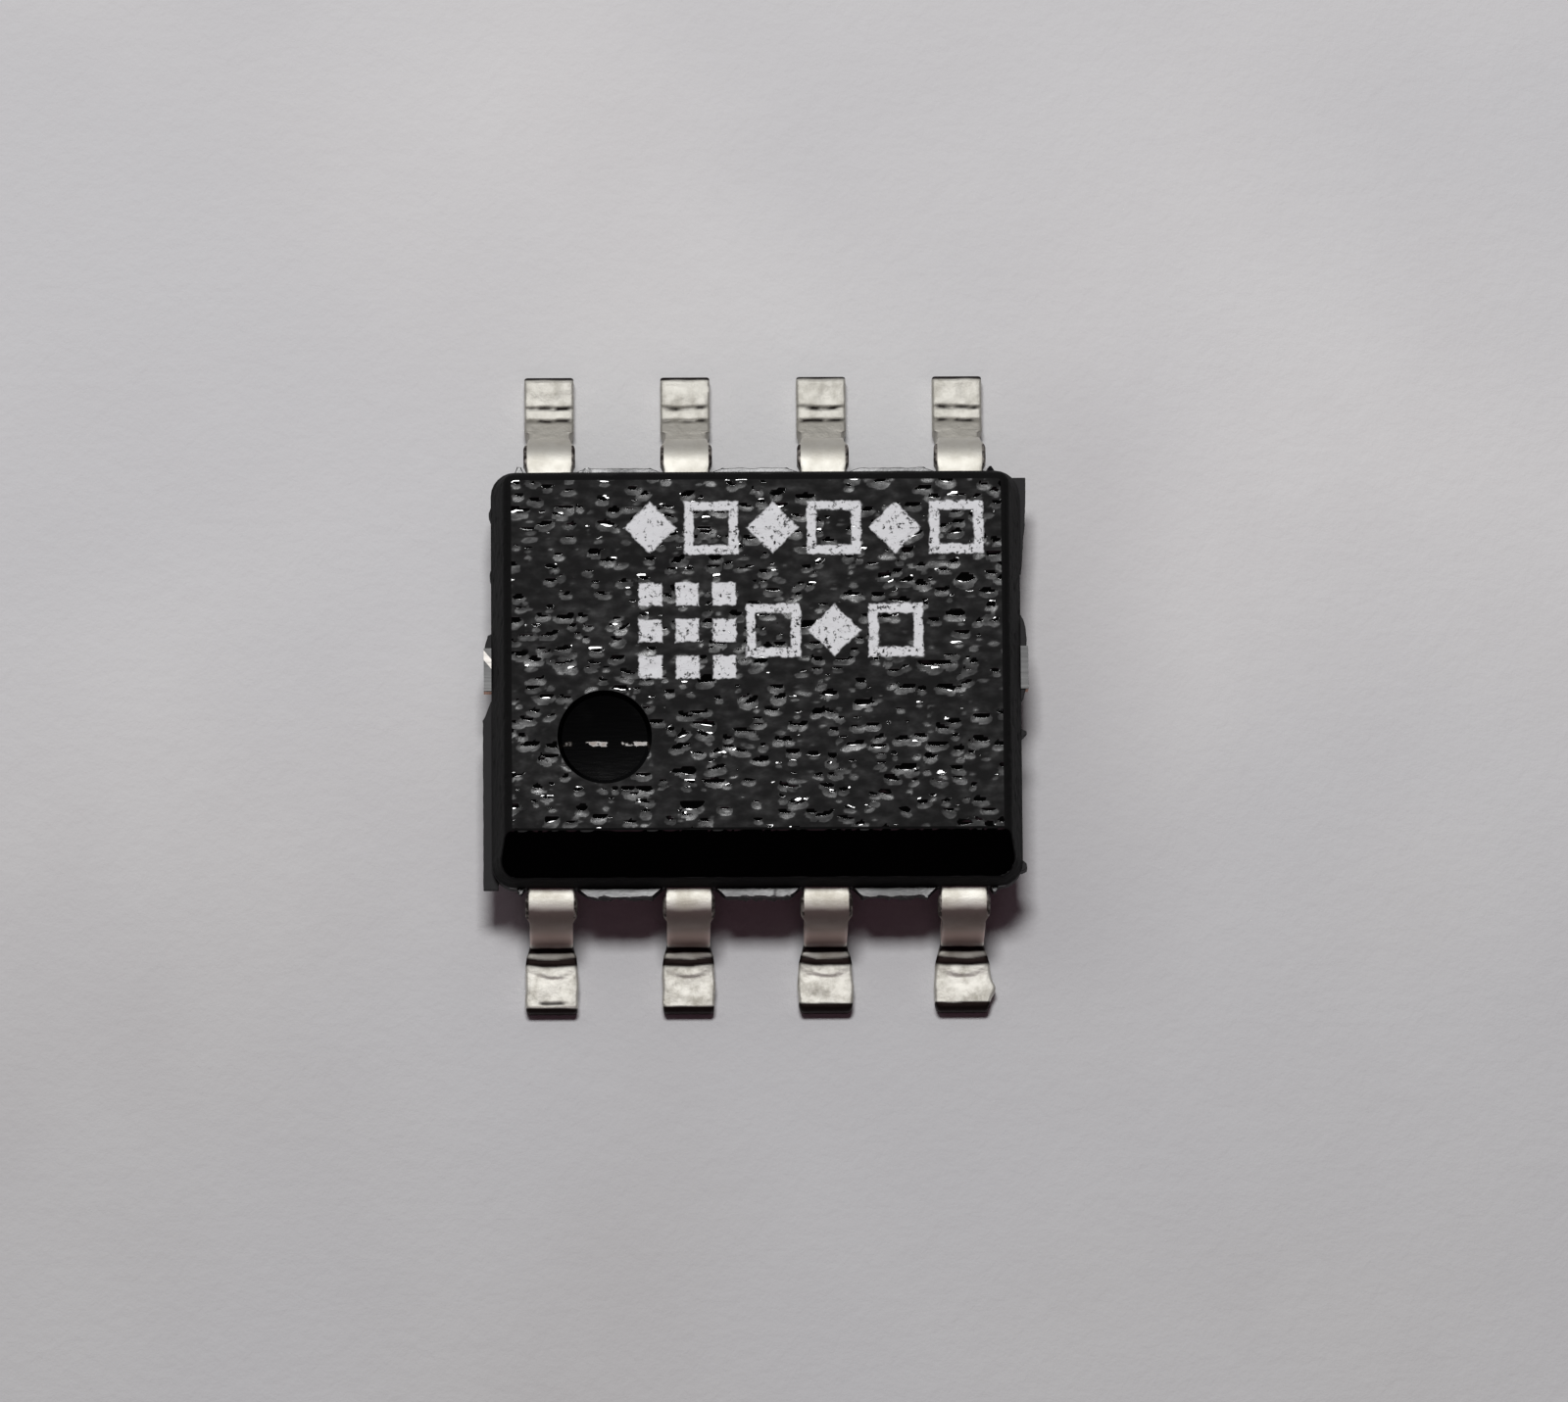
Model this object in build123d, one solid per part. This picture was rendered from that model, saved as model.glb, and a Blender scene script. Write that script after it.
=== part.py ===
from build123d import *
import os
from math import hypot, radians, tan

# A small-outline memory chip: a moulded plastic body with a row of gull-wing leads along each long
# side, and inside it the paddle, the die and the bond wires. Millimetres. The origin is the middle
# of the footprint, on the plane that the feet rest on. X runs along the body, lead 1 is at -X and
# -Y, the leads are numbered anticlockwise seen from above, and Z is up.

# Lead row
leads_per_side = 4
pitch = 1.27
end_margin = 0.545  # from the last lead's middle line to the end of the body

# Body
body_width = 3.90
body_height = 1.45
standoff = 0.15  # air under the plastic
draft = 11.0  # degrees, above and below the leads
corner_radius = 0.10  # of the top and bottom faces, seen from above
rim_radius = 0.05  # round the top face
bevel = 0.40  # 45-degree bevel along the side of lead 1
dimple_diameter = 0.87
dimple_depth = 0.06
dimple_draft = 35.0  # degrees
dimple_from_end = 1.043
dimple_from_side = 1.307
ejector_diameter = 1.00
ejector_depth = 0.04

# Flash left at the parting land
dam_flash = 0.07  # ledge between the leads
ledge_flash = 0.084  # ledge at the end by lead 1
ledge_flash_length = 1.77
flake_flash = 0.075  # pointed flake at the far corner of the other end
flake_flash_length = 0.95
flash_thickness = 0.08

# Leads, outside the body
lead_thickness = 0.20
lead_height = 0.60  # from the bottom of the plastic to the underside of the leads
lead_reach = 1.05  # from the side of the body to the tip of the foot
shoulder_reach = 0.155  # from the side of the body to the inner face of the riser, at its top
riser_lean = 8.0  # degrees out of upright
bend_radius = 0.10  # inside of both bends
neck_width = 0.43
stub_width = 0.50  # across the trimmed ends of the dam bar
stub_length = 0.13
stub_taper = 0.09
riser_width = 0.39
foot_width = 0.46
foot_flare = 0.08

# Leads, inside the body
tip_gap = 0.20  # from the paddle to the tips of the fingers
finger_head = 0.36  # length of the wide bonding end
finger_gap = 0.27  # between neighbouring fingers
finger_cover = 0.25  # plastic between the last finger and the end of the body
finger_corner = 0.07
finger_taper = 0.08

# Paddle
downset = 0.20  # how far the paddle lies below the leads
paddle_side_border = 0.35  # past the die, towards the leads
paddle_end_border = 0.65  # past the die, towards the ends of the body
paddle_corner = 0.12
tie_width = 0.40
tie_shift = 0.10  # both tie bars lie this far towards +Y
tie_run = 0.12  # level stretch next to the paddle
tie_ramp = 0.20
tie_bend_radius = 0.05
tie_stub = 0.07  # cut end that stands out of the plastic

# Die and its glue
die_length = 2.00
die_width = 1.50
die_thickness = 0.28
glue_thickness = 0.03
glue_border = 0.06  # past the die, at the foot of the glue's sloping edge
glue_slope = 45.0  # degrees

# Bond wires
wire_diameter = 0.025
ball_diameter = 0.08
ball_height = 0.03
loop_rise = 0.14  # over the die
pad_inset = 0.10  # from the edge of the die to the middle of a bond pad
stitch_inset = 0.13  # from the tip of the finger to the wire's end

# Levels and places that follow
lead_under = standoff + lead_height
lead_top = lead_under + lead_thickness
body_top = standoff + body_height
body_length = (leads_per_side - 1) * pitch + 2 * end_margin
side_wall = body_width / 2
end_wall = body_length / 2
foot_tip = side_wall + lead_reach
paddle_length = die_length + 2 * paddle_end_border
paddle_width = die_width + 2 * paddle_side_border
paddle_top = lead_top - downset
paddle_under = paddle_top - lead_thickness
die_top = paddle_top + glue_thickness + die_thickness
finger_tip = paddle_width / 2 + tip_gap
riser_top = side_wall + shoulder_reach
heel = riser_top + lead_under * tan(radians(riser_lean))
last_lead = (leads_per_side - 1) * pitch / 2
lead_places = [i * pitch - last_lead for i in range(leads_per_side)]


def strip(underside, radii, thickness):
    """Edge-on section of a bent strip, from the corners of its underside and their radii."""
    return make_face(FilletPolyline(*underside, radius=radii).wire().offset_2d(thickness, side=Side.LEFT))


def lead_outline(low_half, high_half):
    """One lead seen from above, from the finger's tip out to the foot, its middle line on Y.

    The two halves are how far the bonding end reaches to each side of the middle line.
    """
    stub_start = side_wall + dam_flash
    stub_end = stub_start + stub_length
    widths = [
        (finger_tip, low_half, high_half),
        (finger_tip + finger_head, low_half, high_half),
        (finger_tip + finger_head + finger_taper, neck_width / 2, neck_width / 2),
        (stub_start, neck_width / 2, neck_width / 2),
        (stub_start, stub_width / 2, stub_width / 2),
        (stub_end, stub_width / 2, stub_width / 2),
        (stub_end + stub_taper, riser_width / 2, riser_width / 2),
        (heel + lead_thickness, riser_width / 2, riser_width / 2),
        (heel + lead_thickness + foot_flare, foot_width / 2, foot_width / 2),
        (foot_tip, foot_width / 2, foot_width / 2),
    ]
    low_side = [(-low, y) for y, low, high in widths]
    high_side = [(high, y) for y, low, high in reversed(widths)]
    outline = make_face(Polyline(*low_side, *high_side, close=True))
    return chamfer(outline.vertices().group_by(Axis.Y)[0], finger_corner)


def lead(place, side):
    """One formed lead: index of its place along the body, and side +1 or -1 of the body."""
    inner_half = (pitch - finger_gap) / 2
    outer_half = end_margin - finger_cover
    low_half = outer_half if place == 0 else inner_half
    high_half = outer_half if place == leads_per_side - 1 else inner_half
    underside = [(finger_tip, lead_under), (riser_top, lead_under), (heel, 0), (foot_tip, 0)]
    section = Plane.YZ * strip(underside, [bend_radius, bend_radius + lead_thickness], lead_thickness)
    outline = lead_outline(low_half, high_half)
    formed = extrude(section, amount=pitch, both=True) & extrude(outline, amount=lead_top)
    if side < 0:
        formed = mirror(formed, about=Plane.XZ)
    return Pos(lead_places[place], 0, 0) * formed


def tie_bar(side):
    """The strip that held the paddle in its frame: level, up the downset, and out of the end."""
    start = paddle_length / 2 + tie_run
    underside = [(start - tie_run - paddle_corner, paddle_under), (start, paddle_under),
                 (start + tie_ramp, lead_under), (end_wall + tie_stub, lead_under)]
    section = strip(underside, [tie_bend_radius + lead_thickness, tie_bend_radius], lead_thickness)
    bar = extrude(Plane.XZ * section, amount=tie_width / 2, both=True)
    if side < 0:
        bar = mirror(bar, about=Plane.YZ)
    return Pos(0, tie_shift, 0) * bar


def die_paddle():
    """The plate under the die, with its two tie bars."""
    outline = Rectangle(paddle_length, paddle_width)
    outline = Pos(0, 0, paddle_under) * chamfer(outline.vertices(), paddle_corner)
    return extrude(outline, amount=lead_thickness) + tie_bar(1) + tie_bar(-1)


def die_attach():
    """The layer of glue under the die, with its edge sloping out."""
    outline = Rectangle(die_length + 2 * glue_border, die_width + 2 * glue_border)
    return extrude(Pos(0, 0, paddle_top) * outline, amount=glue_thickness, taper=glue_slope)


def silicon_die():
    """The sawn block of silicon."""
    return Pos(0, 0, die_top - die_thickness / 2) * Box(die_length, die_width, die_thickness)


def bond_wire(place, side):
    """A gold wire: a ball on the die, a loop, and a stitch on the top of the lead's finger."""
    pad_x = lead_places[place] * (die_length / 2 - pad_inset) / last_lead
    pad_y = side * (die_width / 2 - pad_inset)
    run_x = lead_places[place] - pad_x
    run_y = side * (finger_tip + stitch_inset) - pad_y
    upright = Plane(origin=(pad_x, pad_y, 0), x_dir=(run_x, run_y, 0), z_dir=(run_y, -run_x, 0))
    stitch = (hypot(run_x, run_y), lead_top - wire_diameter / 2)
    path = upright * Polyline((0, die_top), (0, die_top + loop_rise), stitch)
    section = Plane(origin=path @ 0, z_dir=path % 0) * Circle(wire_diameter / 2)
    wire = sweep(section, path, transition=Transition.RIGHT)
    wire = split(wire, bisect_by=Plane.XY.offset(lead_top), keep=Keep.TOP)
    ball = Cone(ball_diameter / 2, wire_diameter / 2, ball_height)
    return wire + Pos(pad_x, pad_y, die_top + ball_height / 2) * ball


def plastic_block():
    """The outside of the moulding: two drafted halves on a land as thick as the leads."""
    upper_height, lower_height = body_top - lead_top, lead_under - standoff
    land_radius = corner_radius + max(upper_height, lower_height) * tan(radians(draft))
    land = RectangleRounded(body_length, body_width, land_radius)
    upper = extrude(Pos(0, 0, lead_top) * land, amount=upper_height, taper=draft)
    upper = fillet(upper.edges().group_by(Axis.Z)[-1], rim_radius)
    facing_down = Plane(origin=(0, 0, lead_under), z_dir=(0, 0, -1))
    lower = extrude(facing_down * land, amount=lower_height, taper=draft)
    block = upper + lower + extrude(Pos(0, 0, lead_under) * land, amount=lead_thickness)
    bevel_foot = body_top - bevel
    bevel_side = (bevel_foot - lead_top) * tan(radians(draft)) - side_wall
    bevel_plane = Plane(origin=(0, bevel_side, bevel_foot), z_dir=(0, -1, 1))
    return split(block, bisect_by=bevel_plane, keep=Keep.BOTTOM)


def flash():
    """Plastic left between the leads, at the corner by lead 1 and at the corner across from it."""
    dam = Rectangle(2 * last_lead + stub_width, body_width + 2 * dam_flash)
    between_leads = extrude(Pos(0, 0, lead_under) * dam, amount=lead_thickness)
    ledge_edge, ledge_stop = -end_wall - ledge_flash, ledge_flash_length - side_wall
    ledge = Polygon(
        (0, -side_wall), (ledge_edge, -side_wall), (ledge_edge, ledge_stop),
        (-end_wall, ledge_stop + ledge_flash), (0, 0), align=None,
    )
    flake_edge, flake_stop = end_wall + flake_flash, side_wall - flake_flash_length
    flake = Polygon((0, side_wall), (flake_edge, side_wall), (end_wall, flake_stop), (0, 0), align=None)
    return between_leads + extrude(Pos(0, 0, lead_under) * (ledge + flake), amount=flash_thickness)


def surface_marks():
    """The index dimple in the top face and the ejector's mark in the bottom face."""
    dimple_place = Plane(
        origin=(dimple_from_end - end_wall, dimple_from_side - side_wall, body_top), z_dir=(0, 0, -1)
    )
    dimple = extrude(dimple_place * Circle(dimple_diameter / 2), amount=dimple_depth, taper=dimple_draft)
    ejector = extrude(Pos(0, 0, standoff) * Circle(ejector_diameter / 2), amount=ejector_depth)
    return dimple + ejector


def build():
    """Every piece by its name; the plastic is moulded round all the others."""
    seats = [(place, -1) for place in range(leads_per_side)]
    seats += [(place, 1) for place in reversed(range(leads_per_side))]
    inner = {"die_paddle": die_paddle(), "die_attach": die_attach(), "silicon_die": silicon_die()}
    for number, (place, side) in enumerate(seats, start=1):
        inner[f"lead_{number}"] = lead(place, side)
        inner[f"bond_wire_{number}"] = bond_wire(place, side)
    body = plastic_block() + flash() - surface_marks()
    for piece in inner.values():
        body = body - piece
    return {"moulded_body": body, **inner}


os.makedirs("parts", exist_ok=True)
for name, piece in build().items():
    export_step(piece, f"parts/{name}.step")
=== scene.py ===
import math

import bmesh
import bpy
from mathutils import Matrix, Vector, noise


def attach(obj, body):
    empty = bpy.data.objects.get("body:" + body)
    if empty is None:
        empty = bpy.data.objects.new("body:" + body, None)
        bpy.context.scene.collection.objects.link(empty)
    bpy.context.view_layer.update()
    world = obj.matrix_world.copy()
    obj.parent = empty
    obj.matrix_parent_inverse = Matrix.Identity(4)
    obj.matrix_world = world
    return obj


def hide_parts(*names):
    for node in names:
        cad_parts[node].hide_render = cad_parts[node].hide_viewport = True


# The looks of a small-outline memory chip: a black moulding with an eroded mould texture, and eight
# formed leads with old solder on their feet. Meshes are made in millimetres and scaled to metres at
# the end. X runs along the body, lead 1 is at -X and -Y, and Z is up.

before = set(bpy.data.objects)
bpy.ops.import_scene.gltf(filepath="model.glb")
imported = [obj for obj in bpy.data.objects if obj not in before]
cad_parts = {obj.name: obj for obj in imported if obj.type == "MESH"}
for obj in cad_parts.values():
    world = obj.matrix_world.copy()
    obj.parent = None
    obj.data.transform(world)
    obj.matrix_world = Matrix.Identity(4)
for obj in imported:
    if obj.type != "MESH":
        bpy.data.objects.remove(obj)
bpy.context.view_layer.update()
MM = 0.001
TINY = 1e-5  # less than any distance that matters

# Photograph: its width in pixels, and the camera that took it, in millimetres and degrees
PHOTO_WIDTH = 1600
FOCAL_PIXELS = 13223.8
SENSOR_WIDTH = 36.0
CAMERA_TARGET = Vector((0.258, -0.183, 0.8))
CAMERA_DISTANCE = 120.0
CAMERA_ELEVATION = 80.40
CAMERA_AZIMUTH = -5.93
CAMERA_ROLL = 5.57

# Moulding
BODY_TOP = 1.60
BODY_UNDER = 0.15
LAND_TOP = 0.95
LAND_UNDER = 0.75
LAND_HALF = Vector((2.45, 1.95))
DRAFT_ANGLE = 11.0
DRAFT = math.tan(math.radians(DRAFT_ANGLE))
CORNER = 0.10  # radius in plan of the top face, before its rim is rounded
RIM = 0.08
BEVEL = 0.40
CREASE = 0.012
GRID = 0.020  # between the points of the textured faces, seen from above
WALL_GRID = 0.030  # between their points up the walls
WAVES = 0.004  # height of the slow waves in the matt faces
TEXTURE_SEED = 1  # without one, noise_vector differs from run to run
PIT_SIZE = 0.088  # distance between the pits of the mould texture
PIT_STRETCH = 2.0  # how much further apart they lie along X
PIT_TILT = 0.11  # slope of the near half of a pit
BANK_PLACE = Vector((0, 0.58, 0))  # of its polished far half, in pit sizes from its middle
FACE = BODY_TOP - WAVES  # level of the matt top face without its texture
DIMPLE_PLACE = Vector((-1.407, -0.643, FACE))
DIMPLE_RADIUS = 0.435
DIMPLE_DEPTH = 0.06
DIMPLE_WALL = 0.042  # run of its sloping wall
DIMPLE_DISH = 0.004
# Rough scuffs across the dimple's floor, coloured light as a painted reflection of lights
DIMPLE_GLINT_SCUFFS = [(-1.75, 0.05, 0.15), (-1.48, 0.11, 0.65), (-1.13, 0.13, 0.5)]  # x, half length, strength
GLINT_SCUFF_LEVEL = -0.70
GLINT_SCUFF_HALF = 0.024
EJECTOR_RADIUS = 0.50
EJECTOR_DEPTH = 0.04
MATT, POLISHED, SMOOTH, DULL, UNDERSIDE = range(5)  # finishes, and the underside until it is cut

# Print on the top face: middles, steps between neighbours, and half widths
PRINT_LEFT, LOWER_LEFT = -0.98, 0.15
UPPER_ROW, LOWER_ROW = 1.305, 0.345
PRINT_STEP = 0.565
BLOCK_LOW, BLOCK_STEP = 0.005, 0.34
FRAME_HALF, FRAME_LINE = 0.205, 0.042
DIAMOND_HALF = 0.17
SQUARE_HALF = 0.105

# Flash
FLASH_ROOT = 0.06  # how far it reaches into the moulding
FLASH_GRID = 0.024
FLASH_EDGE = 0.006  # of the flat that breaks its edges

# Leads: stations are lengths along the middle of the flat strip, from the middle of the chip
LEADS_PER_SIDE = 4
PITCH = 1.27
LAST_LEAD = (LEADS_PER_SIDE - 1) / 2 * PITCH
FINGER_GAP = 0.27
END_MARGIN, FINGER_COVER = 0.545, 0.25  # past the last lead, and the plastic in that
THICKNESS = 0.20
FINGER_TIP = 1.30
FINGER_HEAD = 1.66
FINGER_NECK = 1.74
WALL = 2.02
STUB_END = 2.162
STUB_FADE = 2.215
SHOULDER = 2.018  # where the strip starts to bend down
BEND = math.radians(82.0)
BEND_RADIUS = 0.20  # of the strip's middle, in both bends
RISER = 0.4096
FOOT = 0.5285
NECK_WIDTH, STUB_WIDTH, RISER_WIDTH, FOOT_WIDTH = 0.43, 0.48, 0.40, 0.46
HEEL = SHOULDER + BEND * BEND_RADIUS + RISER  # where it starts to bend out again
FOOT_START = HEEL + BEND * BEND_RADIUS
TOE = FOOT_START + FOOT
STRIP_LEVEL = 0.85
BLANK_WIDTH = 0.40  # of the strip before it takes its outline
TOE_ROUND, EDGE_ROUND = 0.06, 0.022
CROSS_CUTS = [  # from, to and step
    (FINGER_TIP, FINGER_NECK, 0.08),
    (FINGER_NECK, WALL, 0.06),
    (WALL - 0.004, HEEL, 0.022),
    (HEEL, TOE, 0.011),
]
LONG_CUTS = (-0.178, 0.178, 0.0356)
CREASE_DEPTH = 0.014
# Width of the dark band of painted shade at each lead's toe
TIP_SHADE = {1: 0.036, 2: 0.052, 3: 0.075, 4: 0.080, 5: 0.030, 6: 0.026, 7: 0.032, 8: 0.028}
SOLDER_SPREAD = {1: 0.05, 2: 0.05, 3: 0.10, 4: 0.12}

# Die
DIE_TOP = 1.06
PAD_ROW, PAD_HALF = 0.65, 0.045

# Colours that more than one finish has
# Painted shade with a little grime, on the feet
GRIME_AND_SHADE = (0.022, 0.015, 0.014)
# Painted shade in the far heels
HEEL_SHADE_GREY = (0.46, 0.44, 0.40)

# Floor and lamp, in millimetres, degrees and watts
FLOOR_SIZE = 400
LAMP_AZIMUTH, LAMP_ELEVATION = 188, 73
LAMP_DISTANCE = 110
LAMP_SIZE = (25, 17)
LAMP_POWER = 0.083

# Light of the room without the lamp: all round, over the near side, and low on the far side
DARK_ROOM = (0.004, 0.003, 0.003)
NEAR_ROOM = (0.30, 0.165, 0.21)
FAR_ROOM = (0.24, 0.24, 0.25)


class Value:
    """A shader socket that takes part in Python arithmetic; each operation adds a Math node."""

    def __init__(self, shader, socket):
        self.shader, self.socket = shader, socket

    def math(self, operation, *others):
        return self.shader.math(operation, self, *others)

    def __add__(self, other):
        return self.math("ADD", other)

    def __mul__(self, other):
        return self.math("MULTIPLY", other)

    def __sub__(self, other):
        return self.math("SUBTRACT", other)

    def __truediv__(self, other):
        return self.math("DIVIDE", other)

    def __gt__(self, other):
        return self.math("GREATER_THAN", other)

    def __lt__(self, other):
        return self.math("LESS_THAN", other)

    def __rsub__(self, other):
        return self.shader.math("SUBTRACT", other, self)

    def __abs__(self):
        return self.math("ABSOLUTE")

    __radd__, __rmul__ = __add__, __mul__

    def least(self, other):
        return self.math("MINIMUM", other)

    def most(self, other):
        return self.math("MAXIMUM", other)

    def ramp(self, low, high, start=0.0, end=1.0):
        """From start to end as this goes from low to high, and level outside them."""
        settings = {"interpolation_type": "SMOOTHSTEP"}
        inputs = {"Value": self, "From Min": low, "From Max": high, "To Min": start, "To Max": end}
        return self.shader.node("ShaderNodeMapRange", settings, inputs)["Result"]


class Nodes:
    """A node tree. node() adds a node of any type, with its settings and then its inputs."""

    def __init__(self, tree):
        self.tree = tree
        self.tree.nodes.clear()

    def node(self, kind, settings=None, inputs=None):
        made = self.tree.nodes.new(kind)
        for key, value in (settings or {}).items():
            setattr(made, key, value)
        for key, value in (inputs or {}).items():
            found = [s for s in made.inputs if s.enabled and s.name == key] or [made.inputs[key]]
            if isinstance(value, Value):
                self.tree.links.new(value.socket, found[0])
            else:
                found[0].default_value = value
        return {s.name: Value(self, s) for s in made.outputs if s.enabled}

    def math(self, operation, *values):
        return self.node("ShaderNodeMath", {"operation": operation}, dict(enumerate(values)))["Value"]

    def mix(self, factor, one, other):
        """A colour between two, which are colours or links."""
        one, other = [c if isinstance(c, Value) else (*c, 1.0) for c in (one, other)]
        inputs = {"Factor": factor, "A": one, "B": other}
        return self.node("ShaderNodeMix", {"data_type": "RGBA"}, inputs)["Result"]


class Shader(Nodes):
    """One material, with the place on the object in millimetres."""

    def __init__(self, name):
        self.material = bpy.data.materials.new(name)
        self.material.use_nodes = True
        super().__init__(self.material.node_tree)
        metres = {0: self.node("ShaderNodeTexCoord")["Object"], "Scale": 1 / MM}
        self.place = self.node("ShaderNodeVectorMath", {"operation": "SCALE"}, metres)["Vector"]
        parts = self.node("ShaderNodeSeparateXYZ", {}, {0: self.place})
        self.x, self.y, self.z = parts["X"], parts["Y"], parts["Z"]

    def painted(self, name):
        """What the mesh stores at its points under a name."""
        return self.node("ShaderNodeAttribute", {"attribute_name": name})["Fac"]

    def noise(self, size, detail=3.0, roughness=0.5, stretch=(1, 1, 1)):
        """Perlin noise from 0 to 1 whose lumps are about size millimetres."""
        moved = self.node("ShaderNodeMapping", {}, {"Vector": self.place, "Scale": stretch})
        inputs = {"Vector": moved["Vector"], "Scale": 1 / size, "Detail": detail, "Roughness": roughness}
        return self.node("ShaderNodeTexNoise", {}, inputs)["Fac"]

    def cells(self, size, stretch=(1, 1, 1)):
        """Cells round scattered points about size millimetres apart."""
        moved = self.node("ShaderNodeMapping", {}, {"Vector": self.place, "Scale": stretch})
        return self.node("ShaderNodeTexVoronoi", {}, {"Vector": moved["Vector"], "Scale": 1 / size})

    def bump(self, height, rise):
        """A normal from a height of 0 to 1 that stands for rise millimetres."""
        inputs = {"Height": height, "Distance": rise * MM, "Strength": 1.0}
        return self.node("ShaderNodeBump", {}, inputs)["Normal"]

    def finish(self, colour, roughness, metallic=0.0, normal=None, **constants):
        """Closes the tree with one Principled shader."""
        inputs = {"Base Color": colour if isinstance(colour, Value) else (*colour, 1.0),
                  "Roughness": roughness, "Metallic": metallic}
        if normal is not None:
            inputs["Normal"] = normal
        for key, value in constants.items():
            inputs[key.replace("_", " ")] = value
        shader = self.node("ShaderNodeBsdfPrincipled", {}, inputs)["BSDF"]
        self.node("ShaderNodeOutputMaterial", {}, {"Surface": shader})
        return self.material


def eroded_plastic():
    """Black epoxy from a spark-eroded mould: dull, with glossy pits, and worn white print on top."""
    s = Shader("eroded_plastic")
    pit = s.painted("pit").ramp(0.0, 0.4)
    bank = s.painted("bank").ramp(0.4, 0.6)
    grain = s.noise(0.022, detail=3, roughness=0.65)
    spots = s.noise(0.09, detail=2, stretch=(0.6, 1, 1))
    patches = s.noise(0.6, detail=3)
    ink = print_mask(s)
    # Painted shade: the base colour is darker in the pits and in their polished banks.
    colour = s.mix(pit.most(bank), (0.006, 0.006, 0.006), (0.0015, 0.0015, 0.0015))
    colour = s.mix(ink, colour, (0.80, 0.81, 0.83))
    dull = 0.84 + (patches - 0.5) * 0.3 + (spots - 0.5) * 0.9 - pit * (1 - ink) * 0.41
    roughness = dull.least(0.96) * (1 - bank * (1 - ink)) + 0.04
    return s.finish(colour, roughness, normal=s.bump(grain * (1 - bank), 0.003))


def wall_plastic():
    """The same epoxy on the drafted walls and round the rim of the top, dull all over."""
    s = Shader("wall_plastic")
    grain = s.noise(0.05, detail=3, roughness=0.65)
    patches = s.noise(0.5, detail=3)
    colour = s.mix(patches, (0.0025, 0.0025, 0.0026), (0.0045, 0.0044, 0.0045))
    return s.finish(colour, 0.80 + patches * 0.1, normal=s.bump(grain, 0.006), Specular_IOR_Level=0.16)


def square(s, centre, half):
    """Distance past the edge of an upright square, negative inside."""
    return abs(s.x - centre[0]).most(abs(s.y - centre[1])) - half


def diamond(s, centre, half):
    """The same for a square that stands on its corner."""
    return (abs(s.x - centre[0]) + abs(s.y - centre[1])) * math.sqrt(0.5) - half


def square_frame(s, centre):
    """The same for the line of a square frame."""
    return abs(square(s, centre, FRAME_HALF)) - FRAME_LINE


def print_mask(s):
    """1 in the print: two rows of frames and diamonds and a block of squares, worn in places."""
    wobble = (s.noise(0.06, detail=2) - 0.5) * 0.05
    marks = []
    for i in range(6):
        centre = (PRINT_LEFT + i * PRINT_STEP, UPPER_ROW)
        marks.append(square_frame(s, centre) if i % 2 else diamond(s, centre, DIAMOND_HALF))
    for i in range(9):
        centre = (PRINT_LEFT + i % 3 * BLOCK_STEP, BLOCK_LOW + i // 3 * BLOCK_STEP)
        marks.append(square(s, centre, SQUARE_HALF))
    for i in range(3):
        centre = (LOWER_LEFT + i * PRINT_STEP, LOWER_ROW)
        marks.append(diamond(s, centre, DIAMOND_HALF) if i % 2 else square_frame(s, centre))
    nearest = marks[0]
    for mark in marks[1:]:
        nearest = nearest.least(mark)
    mask = (nearest + wobble).ramp(-0.010, 0.010, 1.0, 0.0)
    worn = s.noise(0.045, detail=3, roughness=0.7).ramp(0.34, 0.46)
    return mask * worn * (s.z > FACE - 0.04)


def polished_plastic():
    """The same epoxy where the mould was polished: the bevel and the dimple, whose rough scuffs carry a
    painted reflection.
    """
    s = Shader("polished_plastic")
    haze = s.noise(0.5, detail=4)
    scratches = s.noise(0.03, detail=2, stretch=(0.2, 1, 1))
    glint_scuffs = 0.0
    for middle, half, strength in DIMPLE_GLINT_SCUFFS:
        across = (half - abs(s.x - middle)).ramp(0.0, 0.03)
        along = (GLINT_SCUFF_HALF - abs(s.y - GLINT_SCUFF_LEVEL + (scratches - 0.5) * 0.03)).ramp(0.0, 0.010)
        glint_scuffs = across * along * strength + glint_scuffs
    glint_scuffs = glint_scuffs * s.noise(0.07, detail=2).ramp(0.38, 0.58)
    roughness = 0.04 + haze.ramp(0.5, 0.8) * 0.03 + glint_scuffs * 0.6
    # Painted reflection: the scuffs' light brown colour stands in for lights reflected in the dimple's
    # floor.
    colour = s.mix(glint_scuffs, (0.0006, 0.0006, 0.0007), (0.34, 0.27, 0.22))
    return s.finish(colour, roughness, normal=s.bump(scratches, 0.0002))


def moulded_plastic():
    """Epoxy at the parting line and on the flash, smoother on the ledges beside the leads."""
    s = Shader("moulded_plastic")
    grain = s.noise(0.03, detail=4, roughness=0.7)
    stain = s.noise(0.4, detail=3)
    beside = (abs(s.y) > LAND_HALF.y - 0.01) * (s.z > LAND_TOP - 0.05)
    colour = s.mix(stain, (0.006, 0.006, 0.007), (0.014, 0.013, 0.014))
    roughness = 0.74 - beside * 0.49 + grain * 0.08
    return s.finish(colour, roughness, normal=s.bump(grain, 0.0015))


def beside_lead(s):
    """Distance from the middle line of the nearest lead."""
    share = s.math("FRACT", s.x / PITCH + 10.0)
    return abs(share - 0.5) * PITCH


def in_shaded_far_heel(s):
    """1 low down in the heels of the far row, where grey is painted in as shade."""
    return s.z.ramp(0.45, 0.70, 1.0, 0.0) * s.y.ramp(2.24, 2.34) * s.y.ramp(2.56, 2.60, 1.0, 0.0)


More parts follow.
